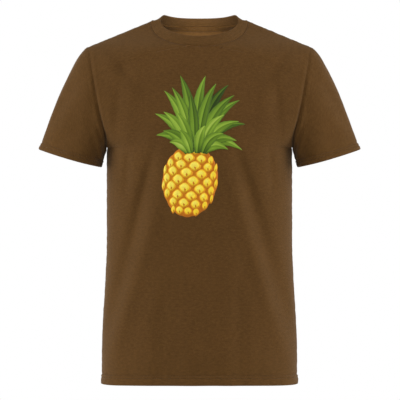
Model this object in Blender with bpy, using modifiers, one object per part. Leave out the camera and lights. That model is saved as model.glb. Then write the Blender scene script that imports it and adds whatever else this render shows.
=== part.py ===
"""A short-sleeved crew-neck T-shirt, in the shape it has on a wearer who isn't shown.

Run it with: blender --background --python part.py
Metres. +Z is up, -Y is out of the chest and +X is towards the wearer's left. The origin is midway between
the two highest points of the collar, in the plane of the side seams.

Each cloth piece is an open grid of points between its seams, thickened about its middle surface. Pieces that
are sewn together face each other across CLEARANCE, and where they meet at an angle the gap has room for the
cloth's own thickness too.
"""

import math

import bmesh
import bpy
from mathutils import Vector
from mathutils.bvhtree import BVHTree

# The shirt's overall sizes.
BODY_LENGTH = 0.722  # top of the collar to the hem
HEM_WIDTH = 0.380
HEM_DEPTH = 0.236
CHEST_WIDTH = 0.360
CHEST_DEPTH = 0.236
SHOULDER_WIDTH = 0.430
SHOULDER_DROP = 0.064  # top of the collar to the shoulder tip
UNDERARM_DROP = 0.260
ARMHOLE_DEPTH = 0.116

# The neckline, at the seam between body and rib, and the rib that stands on it.
NECK_WIDTH = 0.184
NECK_FRONT_DROP = 0.067
NECK_FRONT_REACH = 0.078
NECK_BACK_DROP = 0.017
NECK_BACK_REACH = 0.084
RIB_WIDTH = 0.0245
RIB_CLOTH = 0.0018  # the band is double
RIB_LEAN_FRONT = math.radians(66)  # up from level
RIB_LEAN_SIDE = math.radians(31)
RIB_LEAN_BACK = math.radians(32)
NECK_FALL_MIDDLE = math.radians(72)  # how steeply the body falls away from the neckline
NECK_FALL_SIDE = math.radians(22)
NECK_SIDE_DROP = RIB_WIDTH * math.sin(RIB_LEAN_SIDE) + RIB_CLOTH / 2 * math.cos(RIB_LEAN_SIDE)

# The sleeves.
SLEEVE_INSIDE = 0.0375  # underarm to the sleeve's hem, straight down
SLEEVE_AWAY = 0.0102  # from the side seam to the hem's innermost point
SLEEVE_OPENING = 0.125
SLEEVE_DEPTH = 0.116
SLEEVE_SWING = math.radians(16)  # the sleeve's run at its hem, out from straight down
SHOULDER_SLOPE = math.radians(23)
CAP_FULLNESS = 0.055  # how far the sleeve runs on from the shoulder tip before it turns down

# Cloth, thread and the gaps between them.
CLOTH = 0.0010
TAPE = 0.0008
TAPE_WIDTH = 0.012
PRINT_FILM = 0.0004
THREAD = 0.0010
CLEARANCE = 0.0003
STITCH_CLEARANCE = 0.0007  # a strand is straight between its points, and the cloth under it curves
HEM_TURN = 0.016
NEEDLE_GAP = 0.005
SEAM_ALLOWANCE = 0.004
SEAM_END = 0.02  # a seam's thread stops this far from where other seams meet it

# The print: a fruit and its crown of leaves.
FRUIT_WIDTH = 0.112
FRUIT_HEIGHT = 0.140
FRUIT_DROP = 0.326
CROWN_WIDTH = 0.184
CROWN_HEIGHT = 0.150
CROWN_LEAVES = 11
CROWN_SPREAD = math.radians(82)  # from upright to the outermost leaf
CROWN_FOOT = (0.024, 0.018)  # width and length of the crown's stub
LEAF_SHAPE = ((0, 0.5), (0.25, 0.8), (0.5, 1), (0.75, 0.8))  # (share of the leaf's angle, share of its length)
CROWN_OVERLAP = 0.012  # from the top of the fruit down to the crown's foot
PRINT_SHIFT = -0.012
PRINT_TILT = math.radians(5)

# How finely the cloth is divided.
COLUMNS = 10  # middle to side, on each half
BODY_ROWS = 7
CHEST_ROWS = 5
YOKE_ROWS = 7
SLEEVE_AROUND = 24
SLEEVE_ROWS = 6
NECK_STEPS = 18  # middle to shoulder
FRUIT_SIDES = 28
THREAD_ROUNDNESS = 1

FRONT = -1
BACK = 1
FOLDED_SEAM = CLOTH + CLEARANCE
ARMHOLE_SPLIT = math.radians(20)  # where the armhole is level with the middle of the neckline

BROWN = (0.105, 0.052, 0.016, 1.0)
DARK_BROWN = (0.070, 0.034, 0.011, 1.0)
FRUIT_ORANGE = (0.80, 0.32, 0.02, 1.0)
LEAF_GREEN = (0.13, 0.30, 0.03, 1.0)


def mix(a, b, share):
    return a + (b - a) * share


def ease(share):
    return share * share * (3 - 2 * share)


def clear_scene():
    for obj in list(bpy.data.objects):
        bpy.data.objects.remove(obj)


def material(name, colour, roughness):
    made = bpy.data.materials.new(name)
    made.use_nodes = True
    shader = made.node_tree.nodes["Principled BSDF"]
    shader.inputs["Base Color"].default_value = colour
    shader.inputs["Roughness"].default_value = roughness
    shader.inputs["Metallic"].default_value = 0.0
    made.diffuse_color = colour
    return made


# Seam lines. Each returns a point on the cloth's middle surface, on the wearer's left half.


def side_seam(share):
    """From the hem, 0, to the underarm, 1."""
    half_width = mix(HEM_WIDTH, CHEST_WIDTH, share) / 2
    return Vector((half_width, 0, mix(-BODY_LENGTH, -UNDERARM_DROP, share)))


def middle_line(face, share):
    """The middle of the front or back, from the hem to the underarm's level."""
    half_depth = mix(HEM_DEPTH, CHEST_DEPTH, share) / 2
    return Vector((0, face * half_depth, mix(-BODY_LENGTH, -UNDERARM_DROP, share)))


def neck_middle(face):
    if face == FRONT:
        return Vector((0, -NECK_FRONT_REACH, -NECK_FRONT_DROP))
    return Vector((0, NECK_BACK_REACH, -NECK_BACK_DROP))


def chest_line(face, share):
    """The middle of the chest or upper back, from the underarm's level to the neckline."""
    low, high = middle_line(face, 1), neck_middle(face)
    return Vector((0, mix(low.y, high.y, share**2), mix(low.z, high.z, share)))


def neckline(face, angle):
    """From the middle, 0, to the high shoulder point, a quarter turn."""
    middle = neck_middle(face)
    x = NECK_WIDTH / 2 * math.sin(angle)
    return Vector((x, middle.y * math.cos(angle), mix(-NECK_SIDE_DROP, middle.z, math.cos(angle))))


def armhole(face, angle):
    """From the underarm, a quarter turn down, to the shoulder tip, a quarter turn up."""
    height = (1 + math.sin(angle)) / 2
    return Vector(
        (
            mix(CHEST_WIDTH, SHOULDER_WIDTH, height) / 2,
            face * ARMHOLE_DEPTH / 2 * math.cos(angle),
            mix(-UNDERARM_DROP, -SHOULDER_DROP, height),
        )
    )


def body_rows(face):
    """Half a panel's rows, hem to shoulder. Each is an inner end, an outer end, a roundness and a seam gap."""
    rows = []
    for i in range(BODY_ROWS):
        share = i / BODY_ROWS
        rows.append((middle_line(face, share), side_seam(share), 1.0, CLEARANCE))
    for i in range(CHEST_ROWS):
        share = i / CHEST_ROWS
        angle = mix(-math.pi / 2, ARMHOLE_SPLIT, share)
        rows.append((chest_line(face, share), armhole(face, angle), 1 - 0.35 * share, CLEARANCE))
    for i in range(YOKE_ROWS + 1):
        share = i / YOKE_ROWS
        angle = mix(ARMHOLE_SPLIT, math.pi / 2, share)
        gap = mix(CLEARANCE, FOLDED_SEAM, share)
        rows.append((neckline(face, share * math.pi / 2), armhole(face, angle), 0.65 * (1 - share), gap))
    return rows


def row_point(face, row, share):
    """A point on a row, from its inner end, 0, to its outer end, 1. A roundness of 1 is a quarter ellipse."""
    inner, outer, roundness, gap = row
    turn = share * math.pi / 2
    return Vector(
        (
            mix(inner.x, outer.x, mix(share, math.sin(turn), roundness)),
            mix(inner.y, outer.y, mix(share, 1 - math.cos(turn), roundness)) + face * gap / 2,
            mix(inner.z, outer.z, ease(share)),
        )
    )


def half_panel(face):
    return [[row_point(face, row, j / COLUMNS) for j in range(COLUMNS + 1)] for row in body_rows(face)]


def mirrored(point):
    return Vector((-point.x, point.y, point.z))


def body_ring(height, out):
    """A ring round the lower body, at a height above the hem and a distance out from the middle surface."""
    share = height / (BODY_LENGTH - UNDERARM_DROP)
    half_width = side_seam(share).x
    half_depth = middle_line(BACK, share).y
    ring = []
    for i in range(4 * COLUMNS):
        angle = i * math.pi / 2 / COLUMNS
        point = Vector((half_width * math.sin(angle), -half_depth * math.cos(angle), height - BODY_LENGTH))
        normal = Vector((point.x / half_width**2, point.y / half_depth**2, 0)).normalized()
        ring.append(point + normal * out)
    return ring


def body_surface():
    """The middle surface of both panels, to find the cloth nearest to a point."""
    points, faces = [], []
    for face in (FRONT, BACK):
        for turned in (1, -1):
            grid = half_panel(face)
            first = len(points)
            wide = COLUMNS + 1
            points += [Vector((p.x * turned, p.y, p.z)) for row in grid for p in row]
            for i in range(len(grid) - 1):
                for j in range(COLUMNS):
                    k = first + i * wide + j
                    quad = (k, k + 1, k + wide + 1, k + wide)
                    faces.append(quad if turned * face == FRONT else quad[::-1])
    return BVHTree.FromPolygons(points, faces)


def neck_edge(place):
    """The neckline as one ring, front middle, wearer's left, back middle, wearer's right."""
    angle = place / NECK_STEPS * math.pi / 2
    point = neckline(FRONT if math.cos(angle) > 0 else BACK, math.acos(min(1, abs(math.cos(angle)))))
    return Vector((math.copysign(point.x, math.sin(angle)), point.y, point.z)), angle


def neck_ring(set_back, out):
    """A ring along the neckline, set back from its edge over the cloth and moved out from the cloth."""
    cloth = body_surface()
    places, normals = [], []
    for place in range(4 * NECK_STEPS):
        edge, angle = neck_edge(place)
        fall = mix(NECK_FALL_SIDE, NECK_FALL_MIDDLE, math.cos(angle) ** 2)
        level = Vector((math.sin(angle), -math.cos(angle), 0)) * math.cos(fall)
        away = level - Vector((0, 0, math.sin(fall)))
        nearest, normal = cloth.find_nearest(edge + away * set_back)[:2]
        places.append(nearest)
        normals.append(normal)
    ring = []
    for i, place in enumerate(places):
        normal = (normals[i - 1] + normals[(i + 1) % len(normals)]).normalized()
        ring.append(place + normal * out / normal.dot(normals[i - 1]))
    return ring


def sleeve_ring(share, angles):
    """A ring of the left sleeve, from the armhole, 0, to the hem, 1."""
    ring = []
    down = Vector((math.sin(SLEEVE_SWING), 0, -math.cos(SLEEVE_SWING)))
    slope = Vector((math.cos(SHOULDER_SLOPE), 0, -math.sin(SHOULDER_SLOPE)))
    across = Vector((math.cos(SLEEVE_SWING), 0, math.sin(SLEEVE_SWING))) * SLEEVE_OPENING / 2
    innermost = side_seam(1 - SLEEVE_INSIDE / (BODY_LENGTH - UNDERARM_DROP)) + Vector((SLEEVE_AWAY, 0, 0))
    hem_middle = innermost + across
    for angle in angles:
        height = (1 + math.sin(angle)) / 2
        start = armhole(BACK, angle) + Vector((FOLDED_SEAM, 0, 0))
        end = Vector((hem_middle.x, SLEEVE_DEPTH / 2 * math.cos(angle), hem_middle.z)) + across * math.sin(angle)
        reach = (end - start).length / 3
        first = start + down.lerp(slope, height).normalized() * mix(reach, CAP_FULLNESS, height)
        second = end - down * reach
        back = 1 - share
        ring.append(
            start * back**3 + first * 3 * back**2 * share + second * 3 * back * share**2 + end * share**3
        )
    return ring


def sleeve_angles():
    return [i * 2 * math.pi / SLEEVE_AROUND - math.pi / 2 for i in range(SLEEVE_AROUND)]


def sleeve_rings():
    return [sleeve_ring(i / SLEEVE_ROWS, sleeve_angles()) for i in range(SLEEVE_ROWS + 1)]


def pushed_out(ring, distance):
    """A ring's points moved out from its middle."""
    middle = sum(ring, Vector()) / len(ring)
    return [p + (p - middle).normalized() * distance for p in ring]


def rib_rise(place):
    """From the neckline to the rib's folded edge: a step that leans more at the front than at the side."""
    angle = neck_edge(place)[1]
    forward = math.cos(angle)
    lean = mix(RIB_LEAN_SIDE, RIB_LEAN_FRONT if forward > 0 else RIB_LEAN_BACK, forward**2)
    level = Vector((-math.sin(angle), forward, 0)) * math.cos(lean)
    return (level + Vector((0, 0, math.sin(lean)))) * RIB_WIDTH


# Making objects.


def grid_mesh(name, rows, closed=False):
    """An open sheet through rows of points. A closed one joins each row's end to its start."""
    sheet = bmesh.new()
    grid = [[sheet.verts.new(p) for p in row] for row in rows]
    for low, high in zip(grid, grid[1:]):
        last = len(low) if closed else len(low) - 1
        for j in range(last):
            k = (j + 1) % len(low)
            sheet.faces.new((low[j], low[k], high[k], high[j]))
    mesh = bpy.data.meshes.new(name)
    sheet.to_mesh(mesh)
    sheet.free()
    mesh.shade_smooth()
    return mesh


def add_object(name, data, finish, collection):
    obj = bpy.data.objects.new(name, data)
    data.materials.append(finish)
    collection.objects.link(obj)
    return obj


def thicken(obj, thickness):
    solid = obj.modifiers.new("Thickness", "SOLIDIFY")
    solid.thickness = thickness
    solid.offset = 0


def panel(name, face, finish, collection):
    rows = half_panel(face)
    if face == BACK:
        rows = [row[::-1] for row in rows]
    obj = add_object(name, grid_mesh(name, rows), finish, collection)
    mirror = obj.modifiers.new("Other half", "MIRROR")
    mirror.merge_threshold = 0.0001
    thicken(obj, CLOTH)
    return obj


def sleeve(name, side, finish, collection):
    rings = sleeve_rings()
    if side < 0:
        rings = [[mirrored(p) for p in ring[::-1]] for ring in rings]
    obj = add_object(name, grid_mesh(name, rings, closed=True), finish, collection)
    thicken(obj, CLOTH)
    return obj


def neck_rib(finish, collection):
    """One turned-up band round the neckline, a folded seam's gap clear of the body."""
    edge = neck_ring(0, 0)
    rises = [rib_rise(i) for i in range(len(edge))]
    lift = (RIB_CLOTH + CLOTH) / 2 + CLEARANCE
    foot = [p + rise.normalized() * lift for p, rise in zip(edge, rises)]
    top = [p + rise for p, rise in zip(edge, rises)]
    middle = [a.lerp(b, 0.5) for a, b in zip(foot, top)]
    band = grid_mesh("neck_rib", [foot, middle, top], closed=True)
    obj = add_object("neck_rib", band, finish, collection)
    thicken(obj, RIB_CLOTH)
    return obj


def thread(name, points, closed, finish, collection):
    """A row of stitching or a seam's thread, as one smooth strand."""
    curve = bpy.data.curves.new(name, "CURVE")
    curve.dimensions = "3D"
    curve.bevel_depth = THREAD / 2
    curve.bevel_resolution = THREAD_ROUNDNESS
    curve.use_fill_caps = not closed
    spline = curve.splines.new("POLY")
    spline.points.add(len(points) - 1)
    for target, point in zip(spline.points, points):
        target.co = (*point, 1)
    spline.use_cyclic_u = closed
    return add_object(name, curve, finish, collection)


def stitches(finish, collection):
    """The rows that show on the outside: two round each hem and one round the neckline."""
    out = CLOTH / 2 + STITCH_CLEARANCE + THREAD / 2
    for row, height in (("lower", HEM_TURN - NEEDLE_GAP), ("upper", HEM_TURN)):
        thread(f"hem_stitch_{row}", body_ring(height, out), True, finish, collection)
        rings = sleeve_rings()
        for side, label in ((1, "left"), (-1, "right")):
            steps = [(a - b).normalized() * height for a, b in zip(rings[-2], rings[-1])]
            ring = pushed_out([b + step for b, step in zip(rings[-1], steps)], out)
            ring = ring if side > 0 else [mirrored(p) for p in ring]
            thread(f"sleeve_stitch_{row}_{label}", ring, True, finish, collection)
    thread("neck_stitch", neck_ring(SEAM_ALLOWANCE, out), True, finish, collection)


def between_ends(line, step):
    """A moved copy of a line that stops SEAM_END short of its ends."""
    ends = [Vector(line[0]), Vector(line[-1])]
    run = (ends[1] - ends[0]).normalized() * SEAM_END
    inside = [p for p in line[1:-1] if SEAM_END < (p - ends[0]).length and SEAM_END < (p - ends[1]).length]
    return [p + step for p in [ends[0] + run, *inside, ends[1] - run]]


def seams(finish, collection):
    """The overlocked seams that hold the pieces together, on the inside."""
    inward = CLOTH / 2 + CLEARANCE + THREAD / 2
    thread("neck_seam", neck_ring(SEAM_ALLOWANCE, -inward), True, finish, collection)
    arm = pushed_out([armhole(BACK, a) for a in sleeve_angles()], -SEAM_ALLOWANCE)
    ridge = [(a + b) / 2 for a, b in zip(half_panel(FRONT)[-1], half_panel(BACK)[-1])]
    lines = {
        "side_seam": between_ends([side_seam(0), side_seam(1)], Vector((-SEAM_ALLOWANCE, 0, 0))),
        "shoulder_seam": between_ends(ridge, Vector((0, 0, -SEAM_ALLOWANCE - FOLDED_SEAM))),
        "sleeve_seam": [ring[0] + Vector((SEAM_ALLOWANCE, 0, 0)) for ring in sleeve_rings()[1:]],
    }
    for side, label in ((1, "left"), (-1, "right")):
        for name, line in {**lines, "armhole_seam": arm}.items():
            placed = line if side > 0 else [mirrored(p) for p in line]
            thread(f"{name}_{label}", placed, name == "armhole_seam", finish, collection)


def neck_tape(finish, collection):
    """The strip that covers the back neck seam, shoulder to shoulder."""
    inward = CLOTH / 2 + THREAD + TAPE / 2 + 2 * CLEARANCE
    strips = []
    for set_back in (RIB_CLOTH, (RIB_CLOTH + TAPE_WIDTH) / 2, TAPE_WIDTH):
        strips.append(neck_ring(set_back, -inward)[NECK_STEPS : 3 * NECK_STEPS + 1])
    obj = add_object("neck_tape", grid_mesh("neck_tape", strips), finish, collection)
    thicken(obj, TAPE)
    return obj


def print_point(across, up):
    """A point of the print's flat artwork, measured from the fruit's middle, in the side seams' plane."""
    c, s = math.cos(PRINT_TILT), math.sin(PRINT_TILT)
    return Vector((PRINT_SHIFT + across * c + up * s, 0, up * c - across * s - FRUIT_DROP))


def artwork_cutter(name, outline, cutters):
    """The outline drawn straight forwards, through the front panel and on."""
    block = bmesh.new()
    reach = Vector((0, -CHEST_DEPTH, 0))
    back = [block.verts.new(print_point(*p)) for p in outline]
    front = [block.verts.new(print_point(*p) + reach) for p in outline]
    block.faces.new(back)
    block.faces.new(front[::-1])
    for i in range(len(outline)):
        k = (i + 1) % len(outline)
        block.faces.new((back[k], back[i], front[i], front[k]))
    bmesh.ops.recalc_face_normals(block, faces=block.faces)
    mesh = bpy.data.meshes.new(name)
    block.to_mesh(mesh)
    block.free()
    cutter = bpy.data.objects.new(name, mesh)
    cutter.hide_render = True
    cutter.display_type = "WIRE"
    cutters.objects.link(cutter)
    return cutter


def printed_film(name, outline, out, finish, collection, cutters):
    """A film of ink: the front panel's own surface moved out, kept only inside the artwork's outline."""
    obj = add_object(name, grid_mesh(name, half_panel(FRONT)), finish, collection)
    mirror = obj.modifiers.new("Other half", "MIRROR")
    mirror.merge_threshold = 0.0001
    lift = obj.modifiers.new("Off the cloth", "DISPLACE")
    lift.strength = out + PRINT_FILM / 2
    lift.mid_level = 0
    thicken(obj, PRINT_FILM)
    keep = obj.modifiers.new("Artwork", "BOOLEAN")
    keep.operation = "INTERSECT"
    keep.solver = "EXACT"
    keep.object = artwork_cutter(f"cutter_{name}", outline, cutters)
    return obj


def fruit_outline():
    turns = [i * 2 * math.pi / FRUIT_SIDES for i in range(FRUIT_SIDES)]
    return [(FRUIT_WIDTH / 2 * math.sin(a), FRUIT_HEIGHT / 2 * math.cos(a)) for a in turns]


def crown_outline():
    """A fan of pointed leaves round its foot, as one outline."""
    foot = Vector((0, FRUIT_HEIGHT / 2 - CROWN_OVERLAP))
    stub = Vector(CROWN_FOOT)
    outline = [foot + Vector((stub.x / 2, -stub.y)), foot - Vector((stub.x / 2, stub.y))]
    for leaf in range(CROWN_LEAVES):
        for along, length in LEAF_SHAPE:
            angle = mix(-CROWN_SPREAD, CROWN_SPREAD, (leaf + along) / CROWN_LEAVES)
            reach = mix(CROWN_WIDTH / 2, CROWN_HEIGHT, math.cos(angle) ** 3)
            outline.append(foot + Vector((math.sin(angle), math.cos(angle))) * reach * length)
    return outline


def chest_print(collection, cutters):
    """The crown lies over the fruit, a clearance out from it."""
    ink = material("print_fruit", FRUIT_ORANGE, 0.6)
    leaf_ink = material("print_leaves", LEAF_GREEN, 0.6)
    under = CLOTH / 2 + CLEARANCE
    over = under + PRINT_FILM + CLEARANCE
    printed_film("print_fruit", fruit_outline(), under, ink, collection, cutters)
    printed_film("print_crown", crown_outline(), over, leaf_ink, collection, cutters)


def main():
    clear_scene()
    collection = bpy.data.collections.new("T-shirt")
    cutters = bpy.data.collections.new("Cutters")
    for group in (collection, cutters):
        bpy.context.scene.collection.children.link(group)
    jersey = material("jersey", BROWN, 0.85)
    rib = material("rib_knit", BROWN, 0.9)
    cotton = material("sewing_thread", DARK_BROWN, 0.7)
    panel("front_panel", FRONT, jersey, collection)
    panel("back_panel", BACK, jersey, collection)
    sleeve("sleeve_left", 1, jersey, collection)
    sleeve("sleeve_right", -1, jersey, collection)
    neck_rib(rib, collection)
    neck_tape(jersey, collection)
    chest_print(collection, cutters)
    stitches(cotton, collection)
    seams(cotton, collection)


main()
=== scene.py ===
import functools
import math

import bmesh
import bpy
import numpy as np
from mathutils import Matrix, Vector, noise
from mathutils.bvhtree import BVHTree


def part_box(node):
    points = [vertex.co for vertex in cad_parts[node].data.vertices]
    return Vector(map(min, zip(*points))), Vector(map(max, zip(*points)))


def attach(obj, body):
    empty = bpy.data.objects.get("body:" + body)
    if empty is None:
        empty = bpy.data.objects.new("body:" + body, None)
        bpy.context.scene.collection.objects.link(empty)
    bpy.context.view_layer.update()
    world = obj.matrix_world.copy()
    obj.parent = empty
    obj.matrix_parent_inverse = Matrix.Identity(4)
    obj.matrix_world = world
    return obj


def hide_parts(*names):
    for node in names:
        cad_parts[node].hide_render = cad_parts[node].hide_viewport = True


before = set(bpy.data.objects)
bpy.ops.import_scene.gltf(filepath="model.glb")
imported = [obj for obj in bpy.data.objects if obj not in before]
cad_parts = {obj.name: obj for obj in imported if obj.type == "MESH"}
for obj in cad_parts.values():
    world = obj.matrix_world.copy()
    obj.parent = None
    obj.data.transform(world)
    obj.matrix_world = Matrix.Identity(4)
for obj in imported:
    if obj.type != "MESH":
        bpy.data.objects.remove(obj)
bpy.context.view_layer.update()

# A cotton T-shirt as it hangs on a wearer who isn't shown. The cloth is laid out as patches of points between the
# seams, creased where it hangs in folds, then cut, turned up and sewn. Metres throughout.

# ---- Sizes, from the frame where it has them ----

FRONT_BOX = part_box("front_panel")
BACK_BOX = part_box("back_panel")
SLEEVE_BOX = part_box("sleeve_left")
RIB_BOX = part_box("neck_rib")
FRUIT_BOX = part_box("print_fruit")
CROWN_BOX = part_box("print_crown")

CLOTH = 0.0007
HEM_Z = FRONT_BOX[0][2]
SHOULDER_HALF = FRONT_BOX[1][0]
SHOULDER_Z = SLEEVE_BOX[1][2]
FRONT_DEPTH = -FRONT_BOX[0][1]
BACK_DEPTH = BACK_BOX[1][1]
HEM_HALF = 0.1892
CHEST_HALF = 0.1795
UNDERARM_Z = SLEEVE_BOX[0][2] + 0.0375
ARMHOLE_HALF = SLEEVE_BOX[1][1]
HEM_SIDE_RISE = 0.0045
HEM_FRONT_RISE = 0.0095

NECK_HALF = 0.0928
NECK_SIDE_Z = FRONT_BOX[1][2]
NECK_FRONT = (RIB_BOX[0][1], RIB_BOX[0][2])
NECK_BACK = (RIB_BOX[1][1] - 0.0015, -0.0175)
COLLAR_HALF = 0.0755
COLLAR_FRONT = (-0.068, -0.0475)
COLLAR_SIDE_Z = -0.0130
COLLAR_BACK = (0.0665, -0.0038)

SLEEVE_SWING = math.radians(16)
SLEEVE_HALF = 0.0625
SLEEVE_CORNER = (SLEEVE_BOX[1][0], SLEEVE_BOX[0][2])
SHOULDER_SLOPE = math.radians(22)
CAP_FULLNESS = 0.0313
SLEEVE_LEAN = 0.36

FRONT, BACK = -1, 1
LEFT, RIGHT = 1, -1
SIDES = ((LEFT, "left"), (RIGHT, "right"))

# How many steps lie between the seams on each half.
COLUMNS = 30
BODY_ROWS = 56
CHEST_ROWS = 24
YOKE_ROWS = 18
SLEEVE_ROWS = 22
NECK_ROW = BODY_ROWS + CHEST_ROWS
TOP_ROW = NECK_ROW + YOKE_ROWS
SPLIT = math.radians(20)
ROW_STEP = (UNDERARM_Z - HEM_Z) / BODY_ROWS


def mix(a, b, share):
    return a + (b - a) * share


def ease(share):
    share = np.clip(share, 0, 1)
    return share * share * (3 - 2 * share)


def bump(x, width):
    return np.exp(-((x / width) ** 2))


def unit(vectors):
    return vectors / np.maximum(np.linalg.norm(vectors, axis=-1, keepdims=True), 1e-12)


def soft_noise(points, size, seed):
    """Smooth noise from -1 to 1 at each point, in patches of about the given size."""
    flat = points.reshape(-1, 3) / size + (seed * 7.31, seed * 3.17, seed * 5.71)
    return np.array([noise.noise(Vector(p)) for p in flat]).reshape(points.shape[:-1])


def run_along(points):
    """Running length along a line of points, from nothing."""
    return np.concatenate([[0], np.cumsum(np.linalg.norm(np.diff(points, axis=0), axis=1))])


def points_at(where, run, line):
    """A line's points at the given running lengths."""
    return np.stack([np.interp(where, run, line[:, k]) for k in range(3)], axis=1)


# ---- The cloth's resting surface ----


def side_seam(share):
    z = mix(HEM_Z + HEM_SIDE_RISE, UNDERARM_Z, share)
    return np.array([mix(CHEST_HALF, HEM_HALF, ease((-0.43 - z) / 0.24)), 0, z])


def middle_line(face, share):
    depth = BACK_DEPTH if face == BACK else FRONT_DEPTH
    hem = HEM_Z + (HEM_FRONT_RISE if face == FRONT else 0)
    return np.array([0, face * depth, mix(hem, UNDERARM_Z, share)])


def neck_middle(face):
    y, z = NECK_FRONT if face == FRONT else NECK_BACK
    return np.array([0, y, z])


def chest_line(face, share):
    low, high = middle_line(face, 1), neck_middle(face)
    return np.array([0, mix(low[1], high[1], share**2), mix(low[2], high[2], share)])


def neckline(face, angle):
    middle = neck_middle(face)
    x = NECK_HALF * math.sin(angle)
    fall = ((math.hypot(math.cos(angle), 0.1) - 0.1) / (math.hypot(1, 0.1) - 0.1)) ** 0.7
    return np.array([x, middle[1] * math.cos(angle), mix(NECK_SIDE_Z, middle[2], fall)])


def armhole(face, angle):
    height = (1 + math.sin(angle)) / 2
    x = mix(CHEST_HALF, SHOULDER_HALF, height) - 0.003 * bump(height - 0.12, 0.12) * (1 - bump(height, 0.05))
    deep = ARMHOLE_HALF * math.cos(angle) * (1.10 - 0.22 * math.sin(angle))
    return np.array([x, face * deep, mix(UNDERARM_Z, SHOULDER_Z, height)])


def armhole_angles():
    """The angle of each panel row that ends on the armhole, underarm to shoulder tip."""
    low = [mix(-math.pi / 2, SPLIT, i / CHEST_ROWS) for i in range(CHEST_ROWS)]
    high = [mix(SPLIT, math.pi / 2, i / YOKE_ROWS) for i in range(YOKE_ROWS + 1)]
    return low + high


def panel_rows(face):
    """Half a panel's rows, hem to shoulder: an inner end, an outer end, a roundness and a straightness."""
    rows = []
    for i in range(BODY_ROWS):
        share = i / BODY_ROWS
        rows.append((middle_line(face, share), side_seam(share), 1.0, 0.0))
    angles = armhole_angles()
    for i in range(CHEST_ROWS):
        share = i / CHEST_ROWS
        rows.append((chest_line(face, share), armhole(face, angles[i]), 1 - 0.35 * share, 0.0))
    for i in range(YOKE_ROWS + 1):
        share = i / YOKE_ROWS
        inner = neckline(face, share * math.pi / 2)
        rows.append((inner, armhole(face, angles[CHEST_ROWS + i]), 0.65 * (1 - share), share))
    return rows


def panel_half(face):
    """The wearer's left half of a panel, from its middle or the neckline out to the side or the armhole."""
    turns = np.linspace(0, 1, COLUMNS + 1)
    grid = []
    for inner, outer, roundness, straight in panel_rows(face):
        across = mix(turns, np.sin(turns * math.pi / 2), roundness)
        deep = mix(turns, 1 - np.cos(turns * math.pi / 2), roundness)
        x = mix(inner[0], outer[0], across)
        y = mix(inner[1], outer[1], deep)
        fall = mix(ease(turns), turns, straight and min(1.0, 0.35 + straight))
        z = mix(inner[2], outer[2], fall)
        grid.append(np.stack([x, y, z], axis=1))
    return np.array(grid)


def sleeve_tube():
    """The left sleeve's points, armhole to hem and round from the underarm by the front."""
    angles = armhole_angles()
    ring = [(FRONT, a) for a in angles] + [(BACK, a) for a in angles[-2:0:-1]]
    down = np.array([math.sin(SLEEVE_SWING), 0, -math.cos(SLEEVE_SWING)])
    outer_down = np.array([math.sin(math.radians(20)), 0, -math.cos(math.radians(20))])
    slope = np.array([math.cos(SHOULDER_SLOPE), 0, -math.sin(SHOULDER_SLOPE)])
    across = np.array([math.cos(SLEEVE_SWING), 0, math.sin(SLEEVE_SWING)]) * SLEEVE_HALF
    outermost = np.array([SLEEVE_CORNER[0], 0, SLEEVE_CORNER[1] + 2 * across[2]])
    middle = outermost - across
    columns = []
    for face, angle in ring:
        height = (1 + math.sin(angle)) / 2
        start = armhole(face, angle)
        # The hem stands fullest towards the body, so the sleeve's face turns outwards
        full = math.cos(angle) * (1 - SLEEVE_LEAN * math.sin(angle))
        end = middle + across * math.sin(angle) + (0, face * ARMHOLE_HALF * full, 0)
        end[2] -= 0.0025 * math.cos(angle) ** 2
        reach = np.linalg.norm(end - start) / 3
        lead = unit(mix(down, slope, height))
        first = start + lead * mix(reach, CAP_FULLNESS, height) + (0, face * 0.002 * math.cos(angle), 0)
        second = end - unit(mix(down, outer_down, height)) * mix(reach, 0.0756, height**4)
        t = np.linspace(0, 1, SLEEVE_ROWS + 1)[:, None]
        back = 1 - t
        columns.append(start * back**3 + first * 3 * back**2 * t + second * 3 * back * t**2 + end * t**3)
    return np.stack(columns, axis=1)


# ---- Folds: how far each point stands out from the resting surface ----


def valley(x, z, start, lean, length, widths, depth):
    """A hollow that runs down from start, moving out by lean for each metre, and widens on its way."""
    along = (start[1] - z) / length
    share = np.clip(along, 0, 1)
    middle = start[0] + lean * (start[1] - z)
    width = mix(widths[0], widths[1], share**0.6)
    strength = ease(along * 7 + 0.45) * ease((1 - along) / 0.35)
    return -depth * mix(0.35, 1, ease(share * 5)) * strength * bump(x - middle, width)


# Each hollow's start, lean, length, widths and depth. They fan out from the chest to the hem's corners, and the
# ones of negative depth are the soft ridges between them.
FRONT_VALLEYS = (
    ((-0.084, -0.254), -0.250, 0.43, (0.0080, 0.0175), 0.0066),
    ((0.066, -0.252), 0.305, 0.43, (0.0100, 0.0225), 0.0080),
    ((-0.064, -0.325), -0.314, 0.40, (0.0150, 0.0200), -0.0050),
    ((0.056, -0.310), 0.311, 0.41, (0.0140, 0.0180), -0.0052),
    ((-0.134, -0.264), -0.10, 0.10, (0.006, 0.009), 0.0026),
    ((0.133, -0.262), 0.10, 0.10, (0.006, 0.009), 0.0026),
    ((-0.066, -0.520), -0.06, 0.24, (0.010, 0.016), 0.0022),
    ((0.070, -0.500), 0.04, 0.26, (0.010, 0.016), 0.0022),
)
BACK_VALLEYS = (
    ((-0.076, -0.235), -0.22, 0.46, (0.0095, 0.0200), 0.0150),
    ((0.088, -0.250), 0.24, 0.45, (0.0090, 0.0190), 0.0150),
    ((0.012, -0.330), -0.08, 0.40, (0.0120, 0.0230), 0.0095),
    ((0.128, -0.300), 0.12, 0.22, (0.0070, 0.0130), 0.0048),
    ((-0.125, -0.330), -0.13, 0.24, (0.0080, 0.0150), 0.0052),
    ((0.050, -0.420), 0.12, 0.30, (0.0120, 0.0180), -0.0070),
)


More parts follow.
